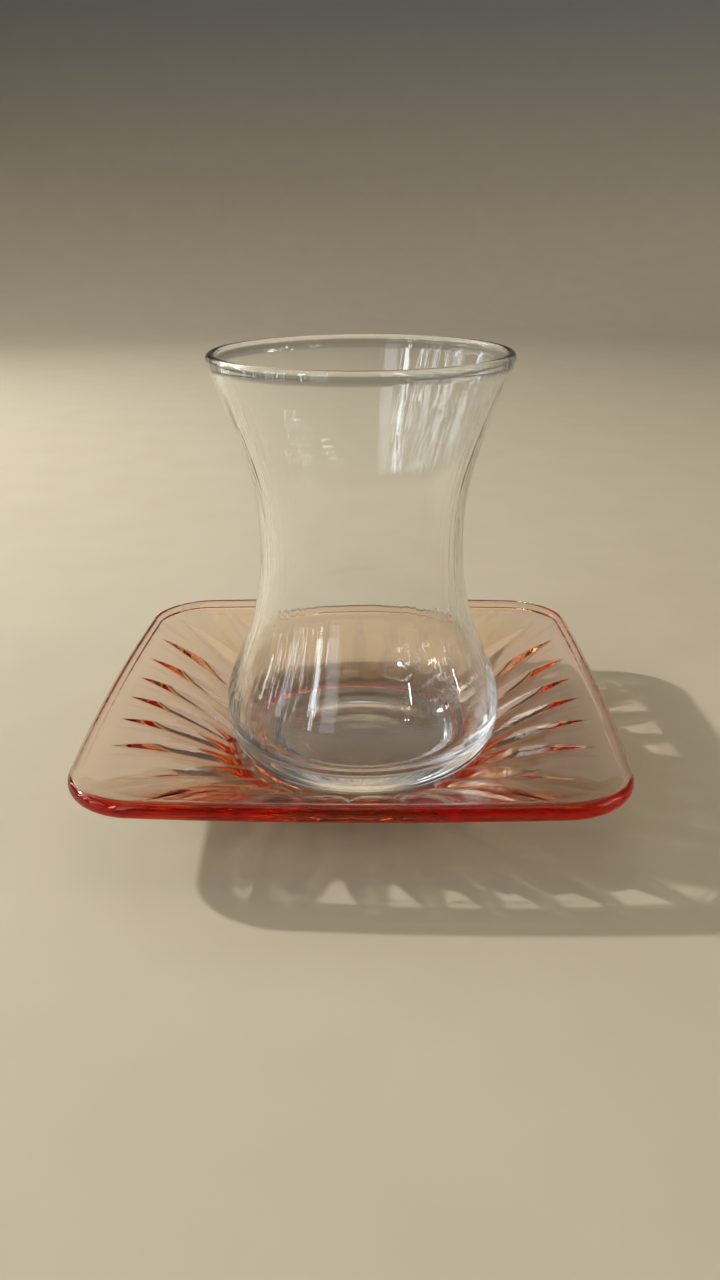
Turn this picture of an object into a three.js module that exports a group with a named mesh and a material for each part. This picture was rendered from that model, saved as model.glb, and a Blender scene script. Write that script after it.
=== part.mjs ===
// A tulip-shaped tea glass standing on its square pressed-glass saucer.
// Millimetres, +Z up. The origin is the middle of the saucer, on the surface that it stands on.
// The saucer's sides face -X, +X, -Y and +Y, and its front is -Y.

import * as THREE from 'three';

// Saucer, seen from above: a square with bowed sides and round corners
const SAUCER_WIDTH = 110;
const SIDE_ARC_RADIUS = 722;
const CORNER_RADIUS = 15;

// Saucer, heights
const FLOOR_TOP = 4.2;
const FLOOR_UNDERSIDE = 1.2;
const RIM_BEAD_RADIUS = 1.6;
const RIM_BEAD_HEIGHT = 16.8;
const RIM_CROWN_INSET = 1.2;
const WALL_TOP = 17.6;

// Saucer wall: steepest where it leaves the round floor, and bowed.
// At the share WALL_END of its width it turns softly into the rim bead.
const WALL_END = 0.95;
const FLOOR_RADIUS = 29;
const WALL_BOW = 0.27;
const WALL_THICKNESS = 3;

// The turn's share of its width, and its rise, where its curve leaves the wall and reaches the crown
const TURN_START = 0.38;
const TURN_RISE = 0.5;
const TURN_CROWN = 0.75;

// Flutes: rounded ribs on the upper face, with a sharp groove between each two.
// They run down into the flat floor, so its edge is scalloped. A rib has a flat crest, which widens
// towards the rim bead, until only fine grooves are left beside it.
const FLUTES = 30;
const FLUTE_RISE = 1.05;
const CREST_SHARE = 0.06;
const CREST_FROM = 0.2;
const CREST_TO = 0.93;
const CREST_POWER = 1.1;

// Foot ring under the saucer
const FOOT_OUTER = 28.2;
const FOOT_FLAT_OUTER = 27;
const FOOT_FLAT_INNER = 25;
const FOOT_INNER = 24;
const FOOT_EDGE_HEIGHT = 0.5;

// Where the glass stands on the saucer, and the air between their meshes
const GLASS_PLACE = [1.9, -5.9];
const CONTACT_GAP = 0.3;

// Tea glass, heights above its own foot
const GLASS_HEIGHT = 87.1;
const BELLY_HEIGHT = 12.8;
const WAIST_HEIGHT = 50.1;
const CAVITY_FLOOR_HEIGHT = 6.3;
const PUSH_UP_HEIGHT = 1.2;

// Tea glass, outer radii
const BELLY_RADIUS = 29.6;
const WAIST_RADIUS = 21;
const MOUTH_RADIUS = 29.9;
const MOUTH_LEAN = THREE.MathUtils.degToRad(18.9);

// Tea glass, wall and rim
const MOUTH_WALL = 1.6;
const WAIST_WALL = 1.9;
const BELLY_WALL = 2.0;
const RIM_ROUND_RADIUS = 0.98;
const RIM_ROUND_INSET = 0.88;
const MOUTH_EDGE_DROP = 1.67;

// Tea glass, foot
const GLASS_FOOT_OUTER = 19.6;
const GLASS_FOOT_FLAT_OUTER = 18.4;
const GLASS_FOOT_FLAT_INNER = 16.2;
const GLASS_FOOT_CORNER = 0.5;
const GLASS_FOOT_LEAN = THREE.MathUtils.degToRad(42);

// Tea glass, how far each curve of the section keeps its direction at its ends
const FOOT_REACH = 4.1;
const BELLY_REACH_DOWN = 11.9;
const BELLY_REACH_UP = 10.8;
const WAIST_REACH_DOWN = 23.2;
const WAIST_REACH_UP = 14.5;
const MOUTH_REACH = 15.1;
const CAVITY_LIFT = 1;
const CAVITY_REACH_DOWN = 5.5;
const CAVITY_FLOOR_REACH = 8.4;

// Mesh steps
const SAUCER_STEPS = FLUTES * 4;
const WALL_STEPS = 8;
const TURN_STEPS = 3;
const BEAD_STEPS = 6;
const GLASS_STEPS = 60;

const TURN = 2 * Math.PI;
const ROUNDING = 1e-6;

// Distance along a ray from the origin to the far side of a circle
function rayToCircle(direction, centre, radius) {
  const along = direction.dot(centre);
  return along + Math.sqrt(along * along - centre.lengthSq() + radius * radius);
}

// Distance from the saucer's middle to its outline, moved in by inset, at one angle
function outlineRadius(angle, inset) {
  const quarter = TURN / 4;
  const folded = Math.abs(angle - quarter * Math.round(angle / quarter));
  const direction = new THREE.Vector2(Math.cos(folded), Math.sin(folded));
  const arcCentre = SAUCER_WIDTH / 2 - SIDE_ARC_RADIUS;
  // The corner's centre (m, m) is as far from the side's centre as the two radii differ
  const reach = SIDE_ARC_RADIUS - CORNER_RADIUS;
  const m = (arcCentre + Math.sqrt(2 * reach * reach - arcCentre * arcCentre)) / 2;
  // The side meets the corner on the line through their two centres
  const beyond = SIDE_ARC_RADIUS / reach;
  const touch = Math.atan2(m * beyond, arcCentre + (m - arcCentre) * beyond);
  if (folded < touch) {
    return rayToCircle(direction, new THREE.Vector2(arcCentre, 0), SIDE_ARC_RADIUS - inset);
  }
  return rayToCircle(direction, new THREE.Vector2(m, m), CORNER_RADIUS - inset);
}

// Share of a rib's width that its flat crest takes: along is 0 at the floor and 1 at the rim bead
function crestShare(along) {
  const reached = THREE.MathUtils.clamp((along - CREST_FROM) / (CREST_TO - CREST_FROM), 0, 1);
  return THREE.MathUtils.lerp(CREST_SHARE, 1, reached ** CREST_POWER);
}

// Height of a rib above its grooves
function fluteLift(angle, along) {
  // Across one rib, -1 and 1 are the grooves and 0 is the crest
  const turnOfFlute = (angle + TURN / 4) * FLUTES / TURN;
  const across = 2 * (turnOfFlute - Math.floor(turnOfFlute + ROUNDING)) - 1;
  return FLUTE_RISE * (1 - Math.max(Math.abs(across), crestShare(along)) ** 2);
}

function wallHeight(along) {
  return FLOOR_TOP + (WALL_TOP - FLOOR_TOP) * along * (1 + WALL_BOW * (1 - along));
}

// A closed solid from rings, listed from the middle of the top, over the rim, to the middle underneath.
// Each ring is a function of the angle that gives [distance from the middle, height].
function solidOfRings(rings, topHeight, bottomHeight, steps) {
  const positions = [0, 0, topHeight, 0, 0, bottomHeight];
  const index = [];
  const at = (ring, step) => 2 + ring * steps + step % steps;
  for (const ring of rings) {
    for (let step = 0; step < steps; step++) {
      const angle = TURN * step / steps;
      const [distance, height] = ring(angle);
      positions.push(distance * Math.cos(angle), distance * Math.sin(angle), height);
    }
  }
  for (let step = 0; step < steps; step++) {
    index.push(0, at(0, step), at(0, step + 1));
    index.push(1, at(rings.length - 1, step + 1), at(rings.length - 1, step));
    for (let ring = 0; ring + 1 < rings.length; ring++) {
      index.push(at(ring, step), at(ring + 1, step), at(ring + 1, step + 1));
      index.push(at(ring, step), at(ring + 1, step + 1), at(ring, step + 1));
    }
  }
  const geometry = new THREE.BufferGeometry();
  geometry.setAttribute('position', new THREE.Float32BufferAttribute(positions, 3));
  geometry.setIndex(index);
  geometry.computeVertexNormals();
  return geometry;
}

// Points of one smooth stretch of a section, without its first point
function stretch(steps, ...corners) {
  const curve = new THREE.CubicBezierCurve(...corners.map(([r, z]) => new THREE.Vector2(r, z)));
  return curve.getPoints(steps).slice(1);
}

function saucerGeometry() {
  const beadInset = 2 * RIM_BEAD_RADIUS;
  const wallPoint = (angle, along) => {
    const end = outlineRadius(angle, beadInset);
    return THREE.MathUtils.lerp(FLOOR_RADIUS, end, along);
  };
  const rings = [];
  // Scalloped edge of the floor: where a rib, which is higher than its grooves, reaches the floor
  const wallWidth = SAUCER_WIDTH / 2 - beadInset - FLOOR_RADIUS;
  const wallSlope = (WALL_TOP - FLOOR_TOP) * (1 + WALL_BOW) / wallWidth;
  rings.push((angle) => [FLOOR_RADIUS - fluteLift(angle, 0) / wallSlope, FLOOR_TOP]);
  for (let step = 1; step <= WALL_STEPS; step++) {
    const along = WALL_END * step / WALL_STEPS;
    rings.push((angle) => [wallPoint(angle, along), wallHeight(along) + fluteLift(angle, along)]);
  }
  // Soft turn from the wall to the crown of the rim bead
  const low = wallHeight(WALL_END);
  const high = RIM_BEAD_HEIGHT + RIM_BEAD_RADIUS;
  const turn = stretch(TURN_STEPS, [0, low], [TURN_START, low + TURN_RISE], [TURN_CROWN, high], [1, high]);
  const turnPoint = (angle, share) => {
    const crown = outlineRadius(angle, RIM_CROWN_INSET);
    return THREE.MathUtils.lerp(wallPoint(angle, WALL_END), crown, share);
  };
  for (const { x: share, y: height } of turn) {
    rings.push((angle) => [turnPoint(angle, share), height]);
  }
  // Rim bead, from its crown over the outer side to its underside
  for (let step = 1; step <= BEAD_STEPS; step++) {
    const turned = THREE.MathUtils.degToRad(THREE.MathUtils.lerp(90, -90, step / BEAD_STEPS));
    const inset = RIM_CROWN_INSET * (1 - Math.cos(turned));
    const height = RIM_BEAD_HEIGHT + RIM_BEAD_RADIUS * Math.sin(turned);
    rings.push((angle) => [outlineRadius(angle, inset), height]);
  }
  // Underside, which follows the turn and the wall, down to the foot ring
  for (const { x: share, y: height } of turn.slice(0, -1).reverse()) {
    const thickness = THREE.MathUtils.lerp(WALL_THICKNESS, 2 * RIM_BEAD_RADIUS, share);
    rings.push((angle) => [turnPoint(angle, share), height - thickness]);
  }
  for (let step = WALL_STEPS; step >= 0; step -= 2) {
    const along = WALL_END * step / WALL_STEPS;
    rings.push((angle) => [wallPoint(angle, along), wallHeight(along) - WALL_THICKNESS]);
  }
  rings.push(() => [FOOT_OUTER, FOOT_EDGE_HEIGHT]);
  rings.push(() => [FOOT_FLAT_OUTER, 0]);
  rings.push(() => [FOOT_FLAT_INNER, 0]);
  rings.push(() => [FOOT_INNER, FLOOR_UNDERSIDE]);
  return solidOfRings(rings, FLOOR_TOP, FLOOR_UNDERSIDE, SAUCER_STEPS);
}

function teaGlassSection() {
  const mouthHeight = GLASS_HEIGHT - MOUTH_EDGE_DROP;
  const mouthInner = MOUTH_RADIUS - MOUTH_WALL;
  const waistInner = WAIST_RADIUS - WAIST_WALL;
  const bellyInner = BELLY_RADIUS - BELLY_WALL;
  const innerBellyHeight = BELLY_HEIGHT + CAVITY_LIFT;
  const lean = [Math.sin(MOUTH_LEAN), Math.cos(MOUTH_LEAN)];
  const footLean = [Math.cos(GLASS_FOOT_LEAN), Math.sin(GLASS_FOOT_LEAN)];
  // Under the foot: a shallow dome, then the ring that the glass stands on
  const section = [
    [0, PUSH_UP_HEIGHT],
    [GLASS_FOOT_FLAT_INNER / 2, PUSH_UP_HEIGHT * 3 / 4],
    [GLASS_FOOT_FLAT_INNER, 0],
    [GLASS_FOOT_FLAT_OUTER, 0],
    [GLASS_FOOT_OUTER, GLASS_FOOT_CORNER],
  ].map(([r, z]) => new THREE.Vector2(r, z));
  // Outside: round bottom corner, belly to waist, waist to mouth
  section.push(...stretch(8,
    [GLASS_FOOT_OUTER, GLASS_FOOT_CORNER],
    [GLASS_FOOT_OUTER + FOOT_REACH * footLean[0], GLASS_FOOT_CORNER + FOOT_REACH * footLean[1]],
    [BELLY_RADIUS, BELLY_HEIGHT - BELLY_REACH_DOWN],
    [BELLY_RADIUS, BELLY_HEIGHT]));
  section.push(...stretch(8,
    [BELLY_RADIUS, BELLY_HEIGHT],
    [BELLY_RADIUS, BELLY_HEIGHT + BELLY_REACH_UP],
    [WAIST_RADIUS, WAIST_HEIGHT - WAIST_REACH_DOWN],
    [WAIST_RADIUS, WAIST_HEIGHT]));
  section.push(...stretch(6,
    [WAIST_RADIUS, WAIST_HEIGHT],
    [WAIST_RADIUS, WAIST_HEIGHT + WAIST_REACH_UP],
    [MOUTH_RADIUS - MOUTH_REACH * lean[0], mouthHeight - MOUTH_REACH * lean[1]],
    [MOUTH_RADIUS, mouthHeight]));
  // Fire-polished rim, rounded over
  const rimCentre = MOUTH_RADIUS - RIM_ROUND_INSET;
  for (const degrees of [0, 45, 90, 135, 180]) {
    const turned = THREE.MathUtils.degToRad(degrees);
    section.push(new THREE.Vector2(
      rimCentre + RIM_ROUND_RADIUS * Math.cos(turned),
      GLASS_HEIGHT - RIM_ROUND_RADIUS * (1 - Math.sin(turned))));
  }
  // Inside: mouth to waist, waist to belly, round corner, floor
  section.push(new THREE.Vector2(mouthInner, mouthHeight));
  section.push(...stretch(6,
    [mouthInner, mouthHeight],
    [mouthInner - MOUTH_REACH * lean[0], mouthHeight - MOUTH_REACH * lean[1]],
    [waistInner, WAIST_HEIGHT + WAIST_REACH_UP],
    [waistInner, WAIST_HEIGHT]));
  section.push(...stretch(8,
    [waistInner, WAIST_HEIGHT],
    [waistInner, WAIST_HEIGHT - WAIST_REACH_DOWN + CAVITY_LIFT],
    [bellyInner, innerBellyHeight + BELLY_REACH_UP],
    [bellyInner, innerBellyHeight]));
  section.push(...stretch(6,
    [bellyInner, innerBellyHeight],
    [bellyInner, innerBellyHeight - CAVITY_REACH_DOWN],
    [GLASS_FOOT_FLAT_INNER + CAVITY_FLOOR_REACH, CAVITY_FLOOR_HEIGHT],
    [GLASS_FOOT_FLAT_INNER, CAVITY_FLOOR_HEIGHT]));
  section.push(new THREE.Vector2(0, CAVITY_FLOOR_HEIGHT));
  return section;
}

function saucer() {
  const pinkGlass = new THREE.MeshStandardMaterial({
    color: 0xd98f7a,
    roughness: 0.05,
    metalness: 0,
    transparent: true,
    opacity: 0.5,
  });
  const mesh = new THREE.Mesh(saucerGeometry(), pinkGlass);
  mesh.name = 'saucer';
  return mesh;
}

function teaGlass() {
  const clearGlass = new THREE.MeshStandardMaterial({
    color: 0xdfe8e6,
    roughness: 0.03,
    metalness: 0,
    transparent: true,
    opacity: 0.35,
  });
  const geometry = new THREE.LatheGeometry(teaGlassSection(), GLASS_STEPS);
  geometry.rotateX(TURN / 4);
  const mesh = new THREE.Mesh(geometry, clearGlass);
  mesh.name = 'tea_glass';
  mesh.position.set(...GLASS_PLACE, FLOOR_TOP + CONTACT_GAP);
  return mesh;
}

const glassOnSaucer = new THREE.Group();
glassOnSaucer.add(saucer(), teaGlass());

export default glassOnSaucer;
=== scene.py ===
"""A clear tulip tea glass on its square, salmon-pink pressed-glass saucer, on a pale studio floor.

Lengths are in metres, in the part's own frame: +Z up, the saucer's middle at the origin, its front at -Y.
"""

import math

import bpy
import numpy as np
from mathutils import Matrix, Vector


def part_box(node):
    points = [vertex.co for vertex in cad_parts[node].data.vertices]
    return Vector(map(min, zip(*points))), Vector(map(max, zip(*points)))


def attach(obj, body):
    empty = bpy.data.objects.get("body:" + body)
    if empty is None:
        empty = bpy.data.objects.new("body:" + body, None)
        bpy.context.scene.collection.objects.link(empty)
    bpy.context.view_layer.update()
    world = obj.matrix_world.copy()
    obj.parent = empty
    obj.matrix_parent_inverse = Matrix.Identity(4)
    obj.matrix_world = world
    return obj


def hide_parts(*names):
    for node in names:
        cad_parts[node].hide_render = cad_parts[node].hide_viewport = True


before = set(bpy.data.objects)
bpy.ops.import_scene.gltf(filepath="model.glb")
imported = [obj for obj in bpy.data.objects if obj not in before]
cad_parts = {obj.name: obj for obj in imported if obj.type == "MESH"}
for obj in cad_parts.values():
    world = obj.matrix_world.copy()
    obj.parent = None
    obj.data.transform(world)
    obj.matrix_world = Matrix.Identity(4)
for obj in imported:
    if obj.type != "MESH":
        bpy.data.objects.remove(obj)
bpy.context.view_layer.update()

MM = 0.001
TURN = 2 * math.pi

# Places and outer sizes, from the frame
saucer_low, saucer_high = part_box("saucer")
glass_low, glass_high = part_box("tea_glass")
GLASS_AXIS = ((glass_low.x + glass_high.x) / 2, (glass_low.y + glass_high.y) / 2)
GLASS_FOOT = glass_low.z
GLASS_HEIGHT = glass_high.z - glass_low.z

# Saucer seen from above: a square with bowed sides and round corners
HALF_WIDTH = (saucer_high.x - saucer_low.x) / 2
SIDE_ARC_RADIUS = 722 * MM
CORNER_RADIUS = 15 * MM

# Saucer heights
FLOOR_TOP = 4.2 * MM
FLOOR_UNDERSIDE = 1.2 * MM
RIM_BEAD_RADIUS = 1.6 * MM
RIM_BEAD_HEIGHT = saucer_high.z - RIM_BEAD_RADIUS
RIM_CROWN_INSET = 1.2 * MM
WALL_TOP = 17.6 * MM

# Saucer wall, which turns up into the rim bead at the share WALL_END of its width, and its flutes
WALL_END = 0.95
FLOOR_RADIUS = 29 * MM
WALL_BOW = 0.27
WALL_THICKNESS = 3 * MM
TURN_START = 0.38
TURN_RISE = 0.5 * MM
TURN_CROWN = 0.75
FLUTES = 30
FLUTE_RISE = 1.05 * MM
CREST_SHARE = 0.06
CREST_FROM = 0.2
CREST_TO = 0.93
CREST_POWER = 1.1
PRESS_UNEVENNESS = 0.03 * MM
PRESS_WAVE_SCALE = 160.0

# How finely the saucer is stepped: round each flute, up the wall, over the turn and the bead, and underneath
STEPS_PER_FLUTE = 24
GROOVE_CROWDING = 0.7
FIRST_WALL_STEPS = (0.0, 0.004, 0.012, 0.025)
EVEN_WALL_FROM = 0.04
WALL_STEPS = 42
TURN_STEPS = 9
BEAD_STEPS = 17
UNDERSIDE_STEPS = 16

# Foot ring under the saucer
FOOT_OUTER = 28.2 * MM
FOOT_FLAT_OUTER = 27 * MM
FOOT_FLAT_INNER = 25 * MM
FOOT_INNER = 24 * MM
FOOT_EDGE_HEIGHT = 0.72 * MM

# Tea glass: heights above its foot, outer radii, walls
BELLY_HEIGHT = 12.8 * MM
WAIST_HEIGHT = 50.1 * MM
CAVITY_FLOOR_HEIGHT = 6.3 * MM
PUSH_UP_HEIGHT = 1.2 * MM
BELLY_RADIUS = 29.6 * MM
WAIST_RADIUS = 21 * MM
MOUTH_RADIUS = 29.9 * MM
MOUTH_LEAN = math.radians(18.9)
MOUTH_WALL = 1.6 * MM
WAIST_WALL = 1.9 * MM
BELLY_WALL = 2.0 * MM
RIM_ROUND_RADIUS = 0.98 * MM
RIM_ROUND_INSET = 0.9
MOUTH_EDGE_DROP = 1.7
GLASS_FOOT_OUTER = 19.6 * MM
GLASS_FOOT_FLAT_OUTER = 18.4 * MM
GLASS_FOOT_FLAT_INNER = 16.2 * MM
GLASS_FOOT_CORNER = 0.5 * MM
GLASS_FOOT_LEAN = math.radians(42)
FLOW_LINE_DEPTH = 0.14 * MM
GLASS_STEPS = 288

# How far the glass's curves run straight on from each of their ends
FOOT_REACH = 4.1 * MM
BELLY_REACH_DOWN = 11.9 * MM
BELLY_REACH_UP = 10.8 * MM
WAIST_REACH_DOWN = 23.2 * MM
WAIST_REACH_UP = 14.5 * MM
MOUTH_REACH = 15.1 * MM
INNER_WAIST_REACH_DOWN = 22.2 * MM
INNER_BELLY_LIFT = 1 * MM
INNER_BELLY_REACH_DOWN = 5.5 * MM
INNER_BASE_REACH = 5 * MM

# Camera of the photo: its place, turn and lens, fitted to the saucer's outline and the glass's contour
CAMERA_PLACE = (5.5 * MM, -213.0 * MM, 115.9 * MM)
CAMERA_PITCH = math.radians(22.34)
CAMERA_YAW = math.radians(-1.13)
CAMERA_ROLL = math.radians(-0.36)
CAMERA_LENS_MM = 29.14
SENSOR_MM = 36

# Saucer's glass: colour in depth, fine ripple and faint smears
PINK_TINT = (0.965, 0.46, 0.0)
PINK_TINT_DENSITY = 84.0
PINK_RIPPLE_SCALE = 240.0
PINK_RIPPLE_DEPTH = 0.03 * MM
PINK_SMEAR_SCALE = 90.0
PINK_SMEAR_ROUGHNESS = 0.035

# Tea glass's glass: blue-green in its thick base, next to colourless in the thin wall above it
BASE_GLASS_COLOUR = (0.955, 0.992, 0.986, 1)
WALL_GLASS_COLOUR = (0.99, 1.0, 1.0, 1)
BASE_COLOUR_TOP = 3 * MM
WALL_COLOUR_BOTTOM = 11 * MM
CLEAR_RIPPLE_SCALE = 200.0
CLEAR_RIPPLE_SHARE = 0.5
CLEAR_RIPPLE_DEPTH = 0.045 * MM
CLEAR_STREAK_SCALE = 20.0
CLEAR_STREAK_SHORTENING = 2.0
CLEAR_SMEAR_SCALE = 60.0
CLEAR_SMEAR_ROUGHNESS = 0.02

# Studio floor, which sweeps up into a wall; the wall's colour darkens upwards as painted shade for the dim
# room
FLOOR_DARKER = (0.56, 0.50, 0.385, 1)
FLOOR_LIGHTER = (0.61, 0.55, 0.435, 1)
# Painted shade: the sweep's wall darkens to this colour at its top, standing in for the dim room around the
# lit floor
SWEEP_PAINTED_SHADE = (0.22, 0.24, 0.27, 1)
SWEEP_PAINTED_SHADE_TOP = 0.55

# Studio lamps: name, azimuth, elevation, distance, width, height, power and colour of each
OBJECT_MIDDLE = (0.0, 0.0, 30 * MM)
AIR_COLOUR = (0.92, 0.95, 1.0, 1)
AIR_STRENGTH = 0.19
KEY_LAMP = ("low_key_lamp", -73, 29, 1.0, 0.03, 0.03, 7.8, (1.0, 0.98, 0.93))
KEY_SOFTBOX = ("key_softbox", -75, 32, 1.05, 0.3, 0.3, 0.8, (1.0, 0.96, 0.88))
FILL_LAMPS = (
    ("ceiling_panel", 20, 84, 1.2, 0.9, 0.9, 3.0, (1.0, 0.75, 0.44)),
    ("rear_wall_glow", 0, 34, 1.1, 1.1, 0.55, 0.85, (0.95, 0.97, 1.0)),
    ("rear_softbox", -42, 36, 0.9, 0.22, 0.26, 0.8, (0.95, 0.97, 1.0)))
# Azimuth, width and brightness of each upright strip of the tall window
WINDOW_STRIPS = (
    (-60, 0.03, 12), (-87, 0.03, 10), (-97, 0.015, 10), (-109, 0.06, 4), (-116, 0.012, 10), (-123, 0.02, 8),
    (-138, 0.05, 14), (-152, 0.16, 2))
STRIP_ELEVATION = 20
STRIP_DISTANCE = 0.8
STRIP_HEIGHT = 0.5
STRIP_COLOUR = (0.80, 0.91, 1.0)
# Azimuth and elevation of each small lamp
SMALL_LAMPS = (
    (90, 8), (95, 19), (97, 24), (99, 13), (104, 25), (106, 8), (109, 17), (113, 9), (118, 22), (137, 18),
    (142, 12))
SMALL_LAMP_DISTANCE = 0.7
SMALL_LAMP_SIZE = 0.02
SMALL_LAMP_POWER = 0.11
SMALL_LAMP_COLOUR = (1.0, 0.98, 0.94)


# Meshes from rings and sections

def plain_mesh_object(name, points, faces):
    mesh = bpy.data.meshes.new(name)
    mesh.from_pydata([tuple(p) for p in points], [], faces)
    mesh.validate()
    thing = bpy.data.objects.new(name, mesh)
    bpy.context.scene.collection.objects.link(thing)
    return thing


def smooth_shaded(thing):
    thing.data.polygons.foreach_set("use_smooth", [True] * len(thing.data.polygons))
    return thing


def grid_faces(rings, steps, first):
    """Quads between rings of points that run round the axis; first is the index of the first ring point."""
    faces = []
    for ring in range(rings - 1):
        for step in range(steps):
            here = first + ring * steps
            after = here + steps
            nxt = (step + 1) % steps
            faces.append((here + step, after + step, after + nxt, here + nxt))
    return faces


def fan_faces(centre, ring_start, steps, turned):
    faces = []
    for step in range(steps):
        nxt = (step + 1) % steps
        edge = (ring_start + nxt, ring_start + step) if turned else (ring_start + step, ring_start + nxt)
        faces.append((centre, *edge))
    return faces


def shell_of_rings(name, angle, distances, heights, top, bottom):
    """A closed shell from rings listed from the middle of the top, over the rim, to the middle underneath.

    distances and heights hold one row for each ring and one column for each angle round the axis.
    """
    rings, steps = distances.shape
    points = np.stack([distances * np.cos(angle), distances * np.sin(angle), heights], axis=2)
    points = np.concatenate([[(0, 0, top), (0, 0, bottom)], points.reshape(-1, 3)])
    faces = fan_faces(0, 2, steps, False)
    faces += grid_faces(rings, steps, 2)
    faces += fan_faces(1, 2 + (rings - 1) * steps, steps, True)
    return plain_mesh_object(name, points, faces)


def bezier(corners, steps):
    """Points of one smooth stretch of the section, without its first point."""
    t = np.linspace(0, 1, steps + 1)[1:, None]
    a, b, c, d = (np.array(corner) for corner in corners)
    return (1 - t) ** 3 * a + 3 * (1 - t) ** 2 * t * b + 3 * (1 - t) * t ** 2 * c + t ** 3 * d


def round_edge(centre, radius, start, end, steps):
    """Points on an arc of the section, from one angle in degrees to another."""
    turned = np.radians(np.linspace(start, end, steps + 1))
    return np.stack([centre[0] + radius * np.cos(turned), centre[1] + radius * np.sin(turned)], axis=1)


def store_attribute(thing, name, values):
    attribute = thing.data.attributes.new(name, "FLOAT", "POINT")
    attribute.data.foreach_set("value", np.asarray(values, dtype=np.float32))


# Geometry Nodes helpers

class Rule:
    """Writes the formulas of a Geometry Nodes tree, one node for each operation."""

    def __init__(self, name, sizes):
        self.tree = bpy.data.node_groups.new(name, "GeometryNodeTree")
        self.inputs = {}
        self.values = {}
        self.socket("Geometry", "NodeSocketGeometry", None)
        for title, value in sizes.items():
            kind = "NodeSocketMaterial" if isinstance(value, bpy.types.Material) else "NodeSocketFloat"
            self.socket(title, kind, value)
        self.tree.interface.new_socket(name="Geometry", in_out="OUTPUT", socket_type="NodeSocketGeometry")
        self.entry = self.tree.nodes.new("NodeGroupInput")

    def socket(self, title, kind, value):
        made = self.tree.interface.new_socket(name=title, in_out="INPUT", socket_type=kind)
        self.inputs[title] = made.identifier
        self.values[title] = value

    def given(self, title):
        return self.entry.outputs[title]

    def feed(self, socket, value):
        if isinstance(value, bpy.types.NodeSocket):
            self.tree.links.new(value, socket)
        else:
            socket.default_value = value

    def math(self, operation, *values):
        node = self.tree.nodes.new("ShaderNodeMath")
        node.operation = operation
        for socket, value in zip(node.inputs, values):
            self.feed(socket, value)
        return node.outputs[0]

    def rib(self, across):
        """Height of a rib above its grooves, where across is 0 in its middle and 1 at the grooves."""
        fall = self.math("POWER", across, 2.0)
        return self.math("MULTIPLY", self.given("Rise"), self.math("SUBTRACT", 1.0, fall))

    def vector_math(self, operation, *values, scale=None):
        node = self.tree.nodes.new("ShaderNodeVectorMath")
        node.operation = operation
        for socket, value in zip(node.inputs, values):
            self.feed(socket, value)
        if scale is not None:
            self.feed(node.inputs["Scale"], scale)
        return node.outputs[0]

    def smooth_step(self, value, low, high):
        node = self.tree.nodes.new("ShaderNodeMapRange")
        node.interpolation_type = "SMOOTHSTEP"
        self.feed(node.inputs["Value"], value)
        self.feed(node.inputs["From Min"], low)
        self.feed(node.inputs["From Max"], high)
        return node.outputs["Result"]

    def attribute(self, name):
        node = self.tree.nodes.new("GeometryNodeInputNamedAttribute")
        node.data_type = "FLOAT"
        node.inputs["Name"].default_value = name
        return node.outputs["Attribute"]

    def position(self):
        return self.tree.nodes.new("GeometryNodeInputPosition").outputs[0]

    def normal(self):
        return self.tree.nodes.new("GeometryNodeInputNormal").outputs[0]

    def combine(self, x, y, z):
        node = self.tree.nodes.new("ShaderNodeCombineXYZ")
        for socket, value in zip(node.inputs, (x, y, z)):
            self.feed(socket, value)
        return node.outputs[0]

    def noise(self, vector, scale, detail):
        node = self.tree.nodes.new("ShaderNodeTexNoise")
        node.noise_dimensions = "4D"
        self.feed(node.inputs["Vector"], vector)
        self.feed(node.inputs["W"], self.given("Seed"))
        self.feed(node.inputs["Scale"], scale)
        self.feed(node.inputs["Detail"], detail)
        return self.math("SUBTRACT", node.outputs[0], 0.5)

    def set_position(self, geometry, chosen=None, position=None, offset=None):
        node = self.tree.nodes.new("GeometryNodeSetPosition")
        self.feed(node.inputs["Geometry"], geometry)
        if chosen is not None:
            self.feed(node.inputs["Selection"], chosen)
        if position is not None:
            self.feed(node.inputs["Position"], position)
        if offset is not None:
            self.feed(node.inputs["Offset"], offset)
        return node.outputs["Geometry"]

    def close(self, geometry):
        """Ends the tree: instances made real, then the material set."""
        real = self.tree.nodes.new("GeometryNodeRealizeInstances")
        self.feed(real.inputs["Geometry"], geometry)
        coat = self.tree.nodes.new("GeometryNodeSetMaterial")
        self.feed(coat.inputs["Geometry"], real.outputs["Geometry"])
        self.feed(coat.inputs["Material"], self.given("Material"))
        leave = self.tree.nodes.new("NodeGroupOutput")
        self.feed(leave.inputs["Geometry"], coat.outputs["Geometry"])

    def applied_to(self, thing, name):
        """A plain mesh object with this tree's result; thing, which held the raw mesh, is removed."""
        modifier = thing.modifiers.new("rule", "NODES")
        modifier.node_group = self.tree
        for title, identifier in self.inputs.items():
            if self.values[title] is not None:
                modifier[identifier] = self.values[title]
        depsgraph = bpy.context.evaluated_depsgraph_get()
        mesh = bpy.data.meshes.new_from_object(thing.evaluated_get(depsgraph))
        mesh.name = name
        raw_mesh = thing.data
        bpy.data.objects.remove(thing)
        bpy.data.meshes.remove(raw_mesh)
        made = bpy.data.objects.new(name, mesh)
        bpy.context.scene.collection.objects.link(made)
        return smooth_shaded(made)


# Saucer

def ray_to_circle(cos, sin, centre, radius):
    along = cos * centre[0] + sin * centre[1]
    return along + np.sqrt(along ** 2 - centre[0] ** 2 - centre[1] ** 2 + radius ** 2)


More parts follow.
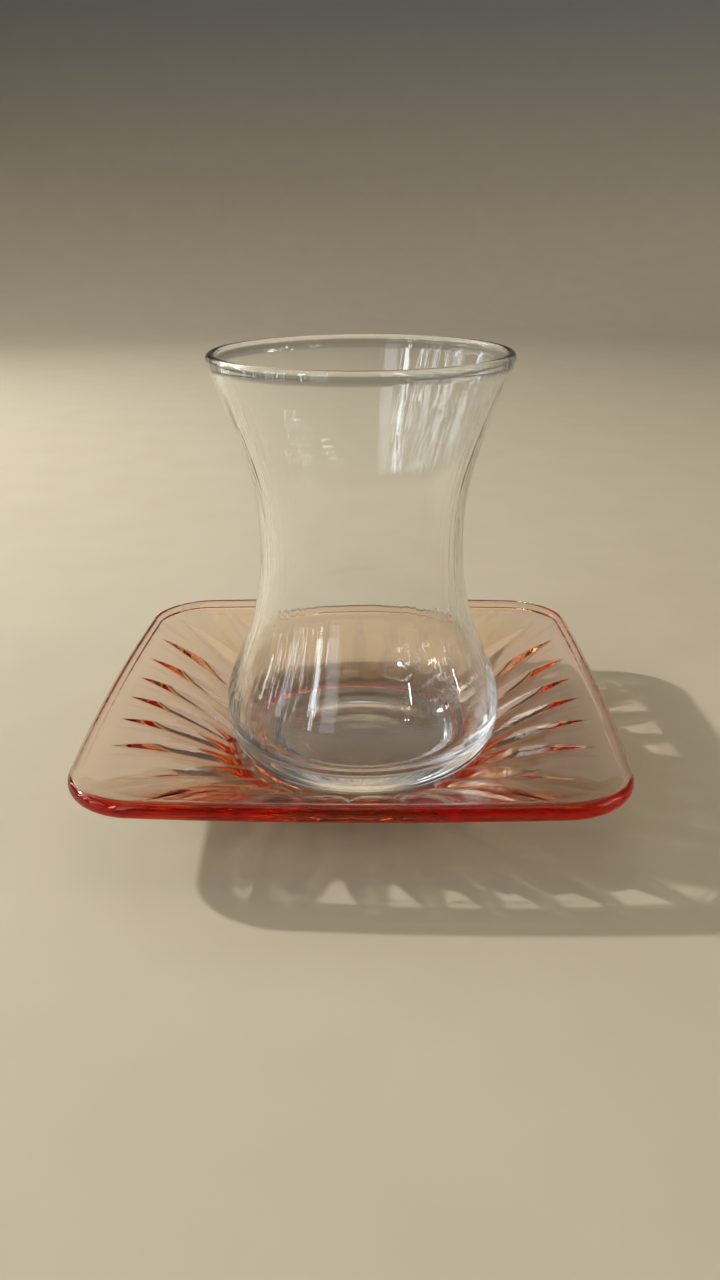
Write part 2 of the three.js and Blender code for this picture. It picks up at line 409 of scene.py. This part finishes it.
def outline_radius(angle, inset):
    """Distance from the saucer's middle to its outline, moved in by inset, at each angle."""
    quarter = TURN / 4
    folded = np.abs(angle - quarter * np.round(angle / quarter))
    cos, sin = np.cos(folded), np.sin(folded)
    arc_centre = HALF_WIDTH - SIDE_ARC_RADIUS
    # The corner's centre (m, m) is as far from the side's centre as the two radii differ
    reach = SIDE_ARC_RADIUS - CORNER_RADIUS
    m = (arc_centre + math.sqrt(2 * reach ** 2 - arc_centre ** 2)) / 2
    stretch = SIDE_ARC_RADIUS / reach
    touch = math.atan2(m * stretch, arc_centre + (m - arc_centre) * stretch)
    side = ray_to_circle(cos, sin, (arc_centre, 0), SIDE_ARC_RADIUS - inset)
    corner = ray_to_circle(cos, sin, (m, m), CORNER_RADIUS - inset)
    return np.where(folded < touch, side, corner)


def wall_height(along):
    return FLOOR_TOP + (WALL_TOP - FLOOR_TOP) * along * (1 + WALL_BOW * (1 - along))


def step_angles():
    """Angles round the saucer, closer together at the grooves between the flutes."""
    even = np.arange(STEPS_PER_FLUTE) / STEPS_PER_FLUTE
    share = even - GROOVE_CROWDING * np.sin(TURN * even) / TURN
    flute = np.arange(FLUTES)[:, None]
    return ((flute + share) * TURN / FLUTES - TURN / 4).ravel()


def saucer_rings(angle):
    """Rows of distance, height and place along the wall for every ring; -1 marks one off the fluted face."""
    steps = len(angle)
    wall_end = outline_radius(angle, 2 * RIM_BEAD_RADIUS)
    rows = []

    def add(distance, height, along=-1.0):
        rows.append((np.broadcast_to(distance, steps), np.broadcast_to(height, steps), along))

    # Upper face: flat floor, then the wall up to the rim bead
    for distance in (12 * MM, 22 * MM):
        add(distance, FLOOR_TOP)
    for along in (*FIRST_WALL_STEPS, *np.linspace(EVEN_WALL_FROM, WALL_END, WALL_STEPS)):
        add(FLOOR_RADIUS + (wall_end - FLOOR_RADIUS) * along, wall_height(along), along)
    # Soft turn from the wall up to the crown of the rim bead
    wall_edge = FLOOR_RADIUS + (wall_end - FLOOR_RADIUS) * WALL_END
    crown = outline_radius(angle, RIM_CROWN_INSET)
    low, high = wall_height(WALL_END), RIM_BEAD_HEIGHT + RIM_BEAD_RADIUS
    turn_up = bezier([(0, low), (TURN_START, low + TURN_RISE), (TURN_CROWN, high), (1, high)], TURN_STEPS)
    for share, height in turn_up:
        add(wall_edge + (crown - wall_edge) * share, height)
    # Rim bead, from its crown over the outer side to its underside
    for turned in np.radians(np.linspace(90, -90, BEAD_STEPS))[1:]:
        inset = RIM_CROWN_INSET * (1 - math.cos(turned))
        add(outline_radius(angle, inset), RIM_BEAD_HEIGHT + RIM_BEAD_RADIUS * math.sin(turned))
    # Underside, which follows the turn and the wall, down to the foot ring
    for share, height in turn_up[-2::-1]:
        thickness = WALL_THICKNESS + (2 * RIM_BEAD_RADIUS - WALL_THICKNESS) * share
        add(wall_edge + (crown - wall_edge) * share, height - thickness)
    for along in np.linspace(WALL_END, 0, UNDERSIDE_STEPS):
        add(FLOOR_RADIUS + (wall_end - FLOOR_RADIUS) * along, wall_height(along) - WALL_THICKNESS)
    # Foot ring, flat where it stands, with soft edges, and the shallow recess inside it
    for share in np.linspace(0, 1, 8):
        turned = share * TURN / 4
        add(FOOT_FLAT_OUTER + (FOOT_OUTER - FOOT_FLAT_OUTER) * math.cos(turned),
            FOOT_EDGE_HEIGHT * (1 - math.sin(turned)))
    for share in np.linspace(0, 1, 10):
        eased = share * share * (3 - 2 * share)
        add(FOOT_FLAT_INNER + (FOOT_INNER - FOOT_FLAT_INNER) * share, FLOOR_UNDERSIDE * eased)
    for distance in (20 * MM, 10 * MM):
        add(distance, FLOOR_UNDERSIDE)
    return rows, wall_end


def pressed_wall_rule(material):
    """The fluted upper face: each rib rises above its grooves and runs down into the flat floor."""
    rule = Rule("pressed_wall", {
        "Flutes": float(FLUTES),
        "Rise": FLUTE_RISE,
        "Crest share": CREST_SHARE,
        "Crest from": CREST_FROM,
        "Crest to": CREST_TO,
        "Crest power": CREST_POWER,
        "Floor radius": FLOOR_RADIUS,
        "Floor top": FLOOR_TOP,
        "Wall rise": WALL_TOP - FLOOR_TOP,
        "Bow": WALL_BOW,
        "Unevenness": PRESS_UNEVENNESS,
        "Seed": 7.0,
        "Material": material,
    })
    along = rule.attribute("along")
    angle = rule.attribute("angle")
    wall_end = rule.attribute("wall_end")
    # Across one flute, -1 and 1 are the grooves and 0 is the crest
    turns = rule.math("DIVIDE", rule.math("ADD", angle, TURN / 4), TURN)
    share = rule.math("FRACT", rule.math("MULTIPLY", turns, rule.given("Flutes")))
    across = rule.math("SUBTRACT", rule.math("MULTIPLY", share, 2.0), 1.0)
    # The rib's flat crest widens towards the rim, until only narrow grooves are left beside it
    reached = rule.math("DIVIDE", rule.math("SUBTRACT", along, rule.given("Crest from")),
                        rule.math("SUBTRACT", rule.given("Crest to"), rule.given("Crest from")))
    reached = rule.math("MINIMUM", rule.math("MAXIMUM", reached, 0.0), 1.0)
    widening = rule.math("MULTIPLY", rule.math("SUBTRACT", 1.0, rule.given("Crest share")),
                         rule.math("POWER", reached, rule.given("Crest power")))
    crest = rule.math("ADD", rule.given("Crest share"), widening)
    lift = rule.rib(rule.math("MAXIMUM", rule.math("ABSOLUTE", across), crest))
    # The rib starts where it meets the floor, nearer the middle than its grooves do
    run = rule.math("SUBTRACT", wall_end, rule.given("Floor radius"))
    climb = rule.math("MULTIPLY", rule.given("Wall rise"), rule.math("ADD", 1.0, rule.given("Bow")))
    slope = rule.math("DIVIDE", climb, run)
    rib = rule.rib(rule.math("MAXIMUM", rule.math("ABSOLUTE", across), rule.given("Crest share")))
    start = rule.math("SUBTRACT", rule.given("Floor radius"), rule.math("DIVIDE", rib, slope))
    distance = rule.math("ADD", start, rule.math("MULTIPLY", rule.math("SUBTRACT", wall_end, start), along))
    # Height of the groove line at that distance, carried on straight below the floor
    beyond = rule.math("SUBTRACT", distance, rule.given("Floor radius"))
    up = rule.math("MAXIMUM", rule.math("DIVIDE", beyond, run), 0.0)
    bowed = rule.math("MULTIPLY", rule.given("Bow"), rule.math("SUBTRACT", 1.0, up))
    share_up = rule.math("MULTIPLY", up, rule.math("ADD", 1.0, bowed))
    wall = rule.math("MULTIPLY", rule.given("Wall rise"), share_up)
    dip = rule.math("MULTIPLY", rule.math("MINIMUM", beyond, 0.0), slope)
    height = rule.math("ADD", rule.given("Floor top"), rule.math("ADD", wall, rule.math("ADD", dip, lift)))
    placed = rule.combine(
        rule.math("MULTIPLY", distance, rule.math("COSINE", angle)),
        rule.math("MULTIPLY", distance, rule.math("SINE", angle)),
        height)
    on_wall = rule.math("GREATER_THAN", along, -0.5)
    shaped = rule.set_position(rule.given("Geometry"), chosen=on_wall, position=placed)
    # Faint unevenness of the pressed surface, inwards only and none at the foot and the rim
    wave = rule.math("SUBTRACT", rule.noise(rule.position(), PRESS_WAVE_SCALE, 1.0), 0.5)
    clear_of_rim = rule.math("SUBTRACT", 1.0, rule.smooth_step(along, 0.8, WALL_END))
    clear_of_ends = rule.math("MULTIPLY", rule.smooth_step(along, 0.0, 0.1), clear_of_rim)
    depth = rule.math("MULTIPLY", rule.math("MULTIPLY", wave, clear_of_ends), rule.given("Unevenness"))
    shaped = rule.set_position(
        shaped, chosen=on_wall, offset=rule.vector_math("SCALE", rule.normal(), scale=depth))
    rule.close(shaped)
    return rule


def make_saucer(material):
    angle = step_angles()
    rows, wall_end = saucer_rings(angle)
    distances = np.array([row[0] for row in rows])
    heights = np.array([row[1] for row in rows])
    along = np.array([np.full(len(angle), row[2]) for row in rows]).ravel()
    shell = shell_of_rings("saucer_shell", angle, distances, heights, FLOOR_TOP, FLOOR_UNDERSIDE)
    middles = [HALF_WIDTH, HALF_WIDTH]
    store_attribute(shell, "along", np.concatenate([[-1, -1], along]))
    store_attribute(shell, "angle", np.concatenate([[0, 0], np.tile(angle, len(rows))]))
    store_attribute(shell, "wall_end", np.concatenate([middles, np.tile(wall_end, len(rows))]))
    return pressed_wall_rule(material).applied_to(shell, "pressed_saucer")


# Tea glass

def tea_glass_section():
    """Radius, height and share of flow lines for each point.

    The points run from under the foot, over the rim, to the floor of the cavity.
    """
    mouth_height = GLASS_HEIGHT - MOUTH_EDGE_DROP * RIM_ROUND_RADIUS
    mouth_inner = MOUTH_RADIUS - MOUTH_WALL
    waist_inner = WAIST_RADIUS - WAIST_WALL
    belly_inner = BELLY_RADIUS - BELLY_WALL
    inner_belly = BELLY_HEIGHT + INNER_BELLY_LIFT
    lean = np.array([math.sin(MOUTH_LEAN), math.cos(MOUTH_LEAN)])
    foot_lean = np.array([math.cos(GLASS_FOOT_LEAN), math.sin(GLASS_FOOT_LEAN)])
    foot_edge = np.array([GLASS_FOOT_OUTER, GLASS_FOOT_CORNER])
    under = [(GLASS_FOOT_FLAT_INNER * share, PUSH_UP_HEIGHT * (1 - share * share))
             for share in np.linspace(0, 1, 15)[1:]]
    foot = bezier([
        (GLASS_FOOT_FLAT_OUTER, 0), (GLASS_FOOT_OUTER - 0.5 * MM, 0),
        foot_edge - 0.4 * MM * foot_lean, foot_edge], 6)
    outside = [under, [(GLASS_FOOT_FLAT_OUTER, 0)], foot]
    outside.append(bezier([
        foot_edge, foot_edge + FOOT_REACH * foot_lean,
        (BELLY_RADIUS, BELLY_HEIGHT - BELLY_REACH_DOWN), (BELLY_RADIUS, BELLY_HEIGHT)], 30))
    outside.append(bezier([
        (BELLY_RADIUS, BELLY_HEIGHT), (BELLY_RADIUS, BELLY_HEIGHT + BELLY_REACH_UP),
        (WAIST_RADIUS, WAIST_HEIGHT - WAIST_REACH_DOWN), (WAIST_RADIUS, WAIST_HEIGHT)], 40))
    mouth_edge = np.array([MOUTH_RADIUS, mouth_height])
    outside.append(bezier([
        (WAIST_RADIUS, WAIST_HEIGHT), (WAIST_RADIUS, WAIST_HEIGHT + WAIST_REACH_UP),
        mouth_edge - MOUTH_REACH * lean, mouth_edge], 34))
    rim_centre = (MOUTH_RADIUS - RIM_ROUND_INSET * RIM_ROUND_RADIUS, GLASS_HEIGHT - RIM_ROUND_RADIUS)
    rim = round_edge(rim_centre, RIM_ROUND_RADIUS, 0, 180, 20)
    inner_edge = np.array([mouth_inner, mouth_height])
    inside = [[inner_edge]]
    inside.append(bezier([
        inner_edge, inner_edge - MOUTH_REACH * lean,
        (waist_inner, WAIST_HEIGHT + WAIST_REACH_UP), (waist_inner, WAIST_HEIGHT)], 34))
    inside.append(bezier([
        (waist_inner, WAIST_HEIGHT), (waist_inner, WAIST_HEIGHT - INNER_WAIST_REACH_DOWN),
        (belly_inner, inner_belly + BELLY_REACH_UP), (belly_inner, inner_belly)], 40))
    inside.append(bezier([
        (belly_inner, inner_belly), (belly_inner, inner_belly - INNER_BELLY_REACH_DOWN),
        (GLASS_FOOT_OUTER + INNER_BASE_REACH, CAVITY_FLOOR_HEIGHT),
        (GLASS_FOOT_FLAT_INNER, CAVITY_FLOOR_HEIGHT)], 30))
    inside.append([(10 * MM, CAVITY_FLOOR_HEIGHT), (5 * MM, CAVITY_FLOOR_HEIGHT)])
    outer = np.concatenate([np.asarray(piece) for piece in outside + [rim]])
    inner = np.concatenate([np.asarray(piece) for piece in inside])
    section = np.concatenate([outer, inner])
    height = inner[:, 1]
    share = np.clip((mouth_height - height) / (6 * MM), 0, 1) * np.clip((height - 8 * MM) / (6 * MM), 0, 1)
    return section, np.concatenate([np.zeros(len(outer)), share])


def flow_line_rule(material):
    """Faint upright streaks on the inner wall, where the blown glass flowed down its mould."""
    rule = Rule("flow_lines", {
        "Depth": FLOW_LINE_DEPTH,
        "Streaks": 5.0,
        "Upright scale": 14.0,
        "Seed": 3.0,
        "Material": material,
    })
    share = rule.attribute("flow_share")
    centred = rule.vector_math("SUBTRACT", rule.position(), (*GLASS_AXIS, 0.0))
    flat = rule.vector_math("MULTIPLY", centred, (1.0, 1.0, 0.0))
    outward = rule.vector_math("NORMALIZE", flat)
    round_part = rule.vector_math("SCALE", outward, scale=rule.given("Streaks"))
    upright = rule.vector_math("MULTIPLY", centred, (0.0, 0.0, 1.0))
    upright = rule.vector_math("SCALE", upright, scale=rule.given("Upright scale"))
    wave = rule.noise(rule.vector_math("ADD", round_part, upright), 1.0, 2.0)
    depth = rule.math("MULTIPLY", rule.math("MULTIPLY", wave, share), rule.given("Depth"))
    shaped = rule.set_position(
        rule.given("Geometry"), offset=rule.vector_math("SCALE", outward, scale=depth))
    rule.close(shaped)
    return rule


def make_tea_glass(material):
    steps = GLASS_STEPS
    section, flow_share = tea_glass_section()
    # From the middle of the cavity floor, over the rim, to the middle under the foot
    section, flow_share = section[::-1], flow_share[::-1]
    distances = np.repeat(section[:, :1], steps, axis=1)
    heights = np.repeat(section[:, 1:], steps, axis=1)
    angle = np.arange(steps) * TURN / steps
    shell = shell_of_rings("glass_shell", angle, distances, heights, CAVITY_FLOOR_HEIGHT, PUSH_UP_HEIGHT)
    store_attribute(shell, "flow_share", np.concatenate([[0, 0], np.repeat(flow_share, steps)]))
    shell.data.transform(Matrix.Translation((*GLASS_AXIS, GLASS_FOOT)))
    return flow_line_rule(material).applied_to(shell, "tulip_glass")


# Materials

def new_material(name):
    material = bpy.data.materials.new(name)
    material.use_nodes = True
    nodes = material.node_tree.nodes
    return material, nodes, material.node_tree.links, nodes["Principled BSDF"], nodes["Material Output"]


def object_noise(nodes, links, scale, detail):
    place = nodes.new("ShaderNodeTexCoord")
    noise = nodes.new("ShaderNodeTexNoise")
    noise.inputs["Scale"].default_value = scale
    noise.inputs["Detail"].default_value = detail
    links.new(place.outputs["Object"], noise.inputs["Vector"])
    return noise.outputs[0]


def spread(nodes, links, value, low, high):
    """Maps a noise of 0 to 1 onto low to high."""
    node = nodes.new("ShaderNodeMapRange")
    links.new(value, node.inputs["Value"])
    node.inputs["From Min"].default_value = 0.35
    node.inputs["From Max"].default_value = 0.65
    node.inputs["To Min"].default_value = low
    node.inputs["To Max"].default_value = high
    return node.outputs["Result"]


def add_bump(nodes, links, shader, value, distance):
    bump = nodes.new("ShaderNodeBump")
    bump.inputs["Strength"].default_value = 1.0
    bump.inputs["Distance"].default_value = distance
    links.new(value, bump.inputs["Height"])
    links.new(bump.outputs["Normal"], shader.inputs["Normal"])


def with_share(nodes, links, base, extra, share):
    """base plus a share of extra."""
    node = nodes.new("ShaderNodeMath")
    node.operation = "MULTIPLY_ADD"
    links.new(extra, node.inputs[0])
    node.inputs[1].default_value = share
    links.new(base, node.inputs[2])
    return node.outputs[0]


def vector_step(nodes, links, operation, first, second=None):
    """One vector operation, where second is a fixed vector or another node's result."""
    node = nodes.new("ShaderNodeVectorMath")
    node.operation = operation
    links.new(first, node.inputs[0])
    if isinstance(second, bpy.types.NodeSocket):
        links.new(second, node.inputs[1])
    elif second is not None:
        node.inputs[1].default_value = second
    return node.outputs[0]


def upright_streaks(nodes, links):
    """Noise drawn out along the glass's height, fine round its axis."""
    place = nodes.new("ShaderNodeTexCoord").outputs["Object"]
    centred = vector_step(nodes, links, "SUBTRACT", place, (*GLASS_AXIS, 0.0))
    flat = vector_step(nodes, links, "MULTIPLY", centred, (1.0, 1.0, 0.0))
    outward = vector_step(nodes, links, "NORMALIZE", flat)
    upright = vector_step(nodes, links, "MULTIPLY", centred, (0.0, 0.0, CLEAR_STREAK_SHORTENING))
    noise = nodes.new("ShaderNodeTexNoise")
    noise.inputs["Scale"].default_value = CLEAR_STREAK_SCALE
    noise.inputs["Detail"].default_value = 2.0
    links.new(vector_step(nodes, links, "ADD", outward, upright), noise.inputs["Vector"])
    return noise.outputs[0]


def colour_by_height(nodes, links, low, high, below, above):
    """Colour that turns from below to above between two heights; below may be another node's colour."""
    place = nodes.new("ShaderNodeTexCoord")
    axes = nodes.new("ShaderNodeSeparateXYZ")
    links.new(place.outputs["Object"], axes.inputs["Vector"])
    climb = nodes.new("ShaderNodeMapRange")
    climb.interpolation_type = "SMOOTHSTEP"
    links.new(axes.outputs["Z"], climb.inputs["Value"])
    climb.inputs["From Min"].default_value = low
    climb.inputs["From Max"].default_value = high
    blend = nodes.new("ShaderNodeMix")
    blend.data_type = "RGBA"
    links.new(climb.outputs["Result"], blend.inputs["Factor"])
    if isinstance(below, bpy.types.NodeSocket):
        links.new(below, blend.inputs["A"])
    else:
        blend.inputs["A"].default_value = below
    blend.inputs["B"].default_value = above
    return blend.outputs["Result"]


def add_tint(nodes, links, output, colour, density):
    """Colour that deepens with the length of glass that the light passes."""
    tint = nodes.new("ShaderNodeVolumeAbsorption")
    tint.inputs["Color"].default_value = (*colour, 1)
    tint.inputs["Density"].default_value = density
    links.new(tint.outputs["Volume"], output.inputs["Volume"])


def pink_pressed_glass():
    material, nodes, links, shader, output = new_material("pink_pressed_glass")
    shader.inputs["Base Color"].default_value = (1.0, 1.0, 1.0, 1)
    shader.inputs["Transmission Weight"].default_value = 1.0
    shader.inputs["IOR"].default_value = 1.5
    smears = object_noise(nodes, links, PINK_SMEAR_SCALE, 1.0)
    links.new(spread(nodes, links, smears, 0.0, PINK_SMEAR_ROUGHNESS), shader.inputs["Roughness"])
    add_bump(nodes, links, shader, object_noise(nodes, links, PINK_RIPPLE_SCALE, 1.0), PINK_RIPPLE_DEPTH)
    add_tint(nodes, links, output, PINK_TINT, PINK_TINT_DENSITY)
    return material


def clear_blown_glass():
    material, nodes, links, shader, _ = new_material("clear_blown_glass")
    body = colour_by_height(
        nodes, links, GLASS_FOOT + BASE_COLOUR_TOP, GLASS_FOOT + WALL_COLOUR_BOTTOM,
        BASE_GLASS_COLOUR, WALL_GLASS_COLOUR)
    links.new(body, shader.inputs["Base Color"])
    shader.inputs["Transmission Weight"].default_value = 1.0
    shader.inputs["IOR"].default_value = 1.5
    smears = object_noise(nodes, links, CLEAR_SMEAR_SCALE, 1.0)
    links.new(spread(nodes, links, smears, 0.0, CLEAR_SMEAR_ROUGHNESS), shader.inputs["Roughness"])
    ripple = object_noise(nodes, links, CLEAR_RIPPLE_SCALE, 0.0)
    streaks = upright_streaks(nodes, links)
    fine = with_share(nodes, links, streaks, ripple, CLEAR_RIPPLE_SHARE)
    add_bump(nodes, links, shader, fine, CLEAR_RIPPLE_DEPTH)
    return material


def pale_floor_with_painted_shade():
    material, nodes, links, shader, _ = new_material("pale_floor_with_painted_shade")
    mottle = nodes.new("ShaderNodeMix")
    mottle.data_type = "RGBA"
    mottle.inputs["A"].default_value = FLOOR_DARKER
    mottle.inputs["B"].default_value = FLOOR_LIGHTER
    links.new(object_noise(nodes, links, 40.0, 4.0), mottle.inputs["Factor"])
    # Painted shade: the pale floor turns dark up the sweep, standing in for the dim room beyond the lit
    # floor
    floor_and_sweep_shade = colour_by_height(
        nodes, links, 0.0, SWEEP_PAINTED_SHADE_TOP, mottle.outputs["Result"], SWEEP_PAINTED_SHADE)
    links.new(floor_and_sweep_shade, shader.inputs["Base Color"])
    shader.inputs["Roughness"].default_value = 0.8
    shader.inputs["Specular IOR Level"].default_value = 0.2
    return material


# Studio

def make_floor(material):
    """A round floor that sweeps up into a wall all the way round."""
    floor_radius, sweep, wall_top, drop = 0.9, 0.5, 1.6, 0.15 * MM
    section = [(0.2, 0.0), (floor_radius, 0.0)]
    for turned in np.radians(np.linspace(0, 90, 13))[1:]:
        section.append((floor_radius + sweep * math.sin(turned), sweep * (1 - math.cos(turned))))
    section.append((floor_radius + sweep, wall_top))
    steps = 96
    angle = np.arange(steps) * TURN / steps
    points = [(0, 0, -drop)]
    for radius, height in section:
        points += [(radius * math.cos(a), radius * math.sin(a), height - drop) for a in angle]
    outward = fan_faces(0, 1, steps, False) + grid_faces(len(section), steps, 1)
    floor = plain_mesh_object("studio_floor", points, outward)
    floor.data.materials.append(material)
    return smooth_shaded(floor)


def toward(azimuth, elevation, distance):
    """A place that far from the object's middle; azimuth 0 is behind it, 90 on its right."""
    azimuth, elevation = math.radians(azimuth), math.radians(elevation)
    flat = distance * math.cos(elevation)
    height = distance * math.sin(elevation) + OBJECT_MIDDLE[2]
    return flat * math.sin(azimuth), flat * math.cos(azimuth), height


def make_softbox(name, azimuth, elevation, distance, width, height, power, colour):
    lamp = bpy.data.lights.new(name, "AREA")
    lamp.shape = "RECTANGLE"
    lamp.size, lamp.size_y = width, height
    lamp.energy = power
    lamp.color = colour
    thing = bpy.data.objects.new(name, lamp)
    bpy.context.scene.collection.objects.link(thing)
    thing.location = toward(azimuth, elevation, distance)
    aim = Vector(OBJECT_MIDDLE) - thing.location
    thing.rotation_euler = aim.to_track_quat("-Z", "Y").to_euler()
    return thing


def light_studio():
    world = bpy.data.worlds.new("studio_air")
    bpy.context.scene.world = world
    world.use_nodes = True
    air = world.node_tree.nodes["Background"]
    air.inputs["Color"].default_value = AIR_COLOUR
    air.inputs["Strength"].default_value = AIR_STRENGTH
    key = make_softbox(*KEY_LAMP)
    key.data.cycles.is_caustics_light = True
    make_softbox(*KEY_SOFTBOX)
    for number, (azimuth, width, brightness) in enumerate(WINDOW_STRIPS):
        power = brightness * math.pi * width * STRIP_HEIGHT
        make_softbox(
            f"window_strip_{number}", azimuth, STRIP_ELEVATION, STRIP_DISTANCE,
            width, STRIP_HEIGHT, power, STRIP_COLOUR)
    for lamp in FILL_LAMPS:
        make_softbox(*lamp)
    for number, (azimuth, elevation) in enumerate(SMALL_LAMPS):
        make_softbox(
            f"small_lamp_{number}", azimuth, elevation, SMALL_LAMP_DISTANCE,
            SMALL_LAMP_SIZE, SMALL_LAMP_SIZE, SMALL_LAMP_POWER, SMALL_LAMP_COLOUR)
    bounces = bpy.context.scene.cycles
    bounces.max_bounces = 22
    bounces.transmission_bounces = 22
    bounces.glossy_bounces = 16
    bounces.diffuse_bounces = 2
    bounces.transparent_max_bounces = 8
    bpy.context.scene.view_settings.view_transform = "Standard"
    bpy.context.scene.view_settings.look = "Medium High Contrast"
    bpy.context.scene.view_settings.exposure = -0.35


def make_camera():
    camera = bpy.data.cameras.new("photo_camera")
    camera.sensor_width = SENSOR_MM
    camera.lens = CAMERA_LENS_MM
    camera.clip_start = 0.01
    forward = Vector((
        math.sin(CAMERA_YAW) * math.cos(CAMERA_PITCH),
        math.cos(CAMERA_YAW) * math.cos(CAMERA_PITCH),
        -math.sin(CAMERA_PITCH)))
    right = Vector((math.cos(CAMERA_YAW), -math.sin(CAMERA_YAW), 0))
    up = right.cross(forward)
    cos, sin = math.cos(CAMERA_ROLL), math.sin(CAMERA_ROLL)
    right, up = right * cos + up * sin, up * cos - right * sin
    turned = Matrix((right, up, -forward)).transposed().to_4x4()
    thing = bpy.data.objects.new("photo_camera", camera)
    thing.matrix_world = Matrix.Translation(CAMERA_PLACE) @ turned
    bpy.context.scene.collection.objects.link(thing)
    bpy.context.scene.camera = thing


make_camera()
light_studio()

floor = make_floor(pale_floor_with_painted_shade())
floor.cycles.is_caustics_receiver = True

pressed_saucer = make_saucer(pink_pressed_glass())
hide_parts("saucer")
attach(pressed_saucer, "root")

tulip_glass = make_tea_glass(clear_blown_glass())
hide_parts("tea_glass")
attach(tulip_glass, "root")

for glass_piece in (pressed_saucer, tulip_glass):
    glass_piece.cycles.is_caustics_caster = True
